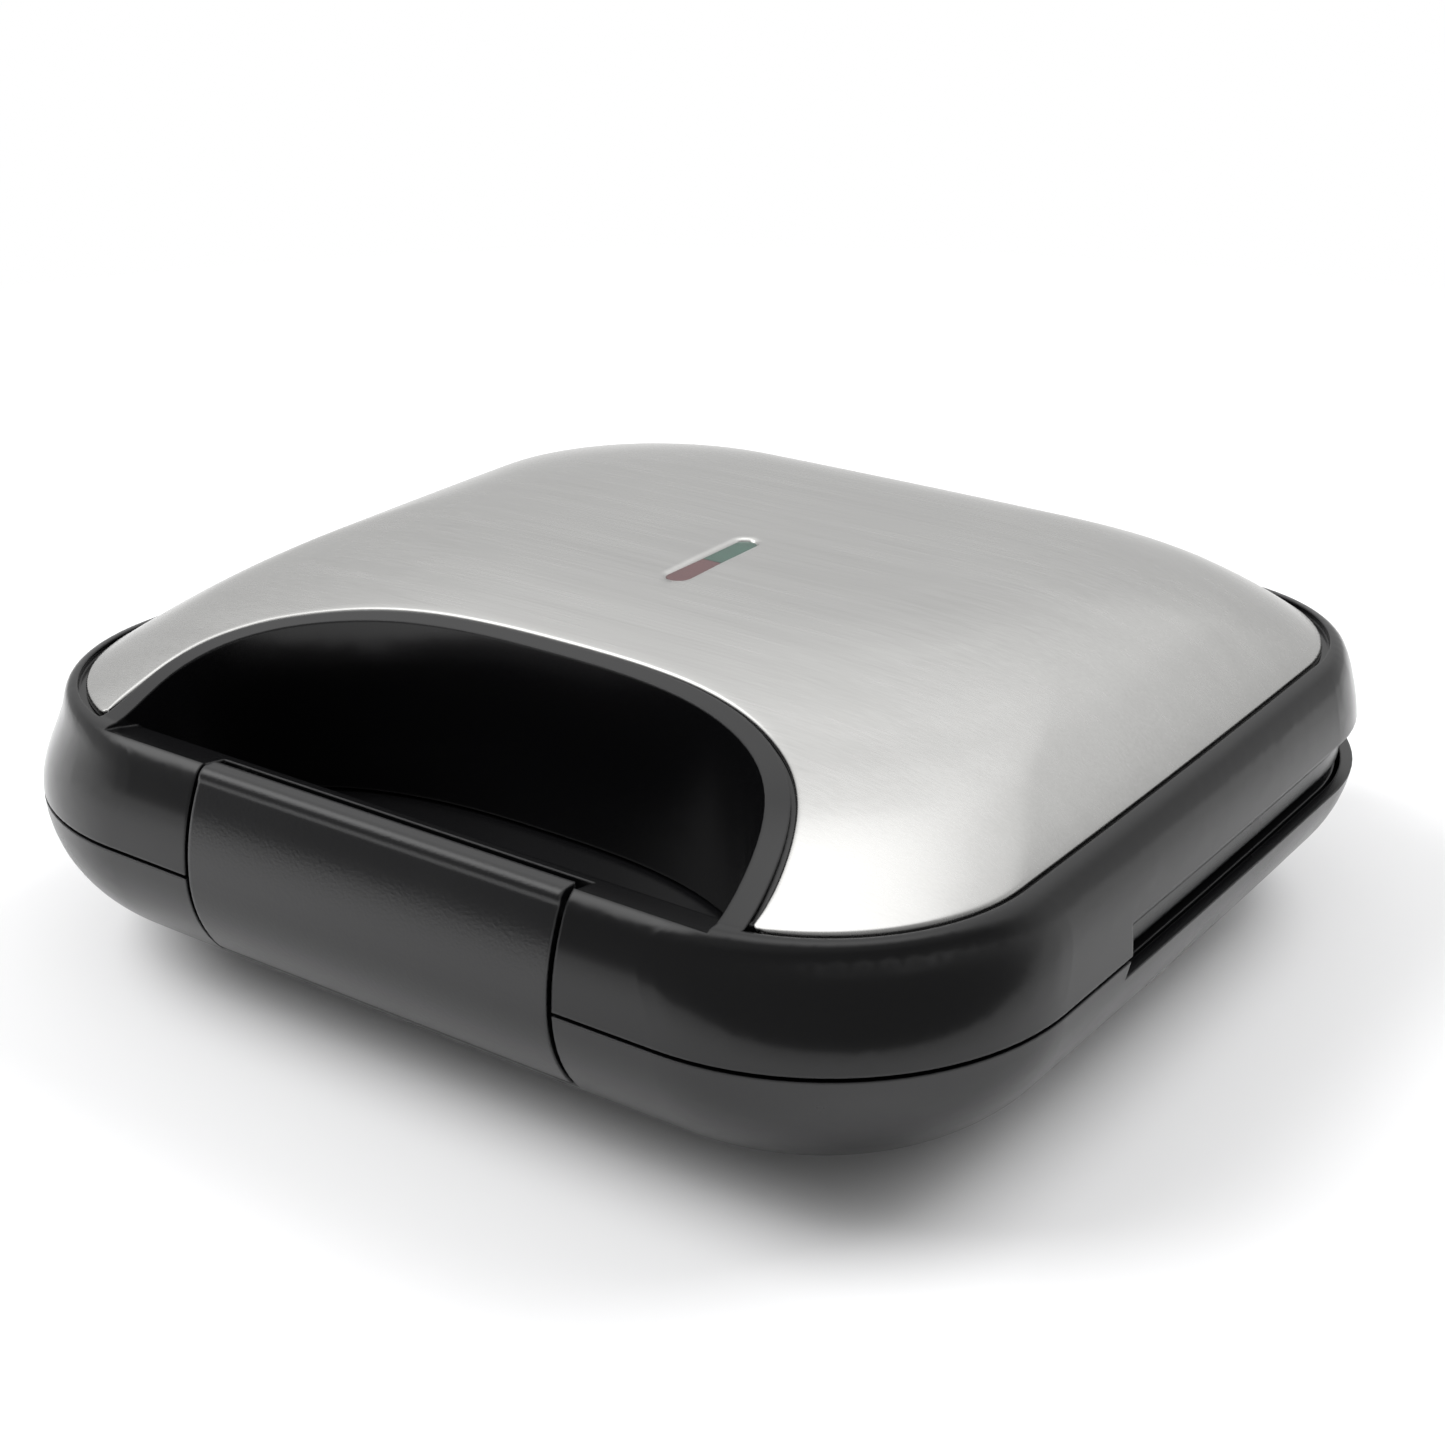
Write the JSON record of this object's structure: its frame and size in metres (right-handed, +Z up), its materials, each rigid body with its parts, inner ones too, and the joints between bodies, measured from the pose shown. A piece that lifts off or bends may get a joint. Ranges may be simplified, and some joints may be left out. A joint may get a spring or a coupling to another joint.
{
  "type": "panini press",
  "caption": "Closed panini press: brushed steel lid cover over a black moulded lid with a hand recess, front latch, hinged base, ribbed plates and rubber feet.",
  "frame": {"origin": "on the surface it stands on, under the middle of its outline", "axes": "+X to the right seen from the front, -Y towards the handle, +Z up"},
  "size_m": [0.2298, 0.2278, 0.0745],
  "materials": {
    "gloss_black": "moulded gloss black plastic",
    "satin_black": "moulded satin black plastic",
    "latch_black": "fine textured black plastic",
    "steel_skin": "brushed stainless steel, brushed from side to side",
    "pin_steel": "turned steel",
    "screw_steel": "zinc plated steel",
    "red_lens": "translucent red brown plastic",
    "green_lens": "translucent green plastic",
    "lamp_glass": "clear glass",
    "white_plastic": "heat resistant off-white moulding",
    "plate_coating": "non-stick coated cast aluminium",
    "sheet_aluminium": "pressed bright sheet",
    "element_steel": "heat tinted steel",
    "fuse_sleeve": "woven sleeve",
    "lead_insulation": "silicone insulated wire",
    "gland_rubber": "moulded bush",
    "foot_rubber": "moulded rubber",
    "label_foil": "blank silver foil label"
  },
  "bodies": {
    "base": {"lower_housing": "satin_black", "lower_bezel": "satin_black", "lower_grill_plate": "plate_coating", "lower_plate_screws": "screw_steel", "lower_reflector": "sheet_aluminium", "lower_reflector_screws": "screw_steel", "lower_heating_element": "element_steel", "lower_thermal_fuse": "fuse_sleeve", "lower_leads": "lead_insulation", "hinge_pin_left": "pin_steel", "hinge_pin_right": "pin_steel", "foot_front_left": "foot_rubber", "foot_front_right": "foot_rubber", "foot_rear_left": "foot_rubber", "foot_rear_right": "foot_rubber", "thermostat": "element_steel", "terminal_block": "white_plastic", "terminal_screws": "screw_steel", "cord_gland": "gland_rubber", "cord_clamp": "white_plastic", "cord_clamp_screws": "screw_steel", "rating_label": "label_foil"},
    "lid": {"upper_housing": "gloss_black", "steel_cover": "steel_skin", "upper_bezel": "satin_black", "latch_pins": "pin_steel", "indicator_lens_red": "red_lens", "indicator_lens_green": "green_lens", "lamp_holder": "white_plastic", "lamp_holder_screws": "screw_steel", "indicator_lamps": "lamp_glass", "upper_grill_plate": "plate_coating", "upper_plate_screws": "screw_steel", "upper_reflector": "sheet_aluminium", "upper_reflector_screws": "screw_steel", "upper_heating_element": "element_steel", "upper_thermal_fuse": "fuse_sleeve", "upper_leads": "lead_insulation"},
    "latch": {"latch": "latch_black"}
  },
  "joints": [
    {"name": "lid_hinge", "type": "hinge", "parent": "base", "child": "lid", "pos_m": [0, 0.1092, 0.03525], "axis": [-1, 0, 0], "range_deg": [0, 100]},
    {"name": "latch_pivot", "type": "hinge", "parent": "lid", "child": "latch", "pos_m": [0, -0.1059, 0.0492], "axis": [-1, 0, 0], "range_deg": [0, 30]}
  ]
}
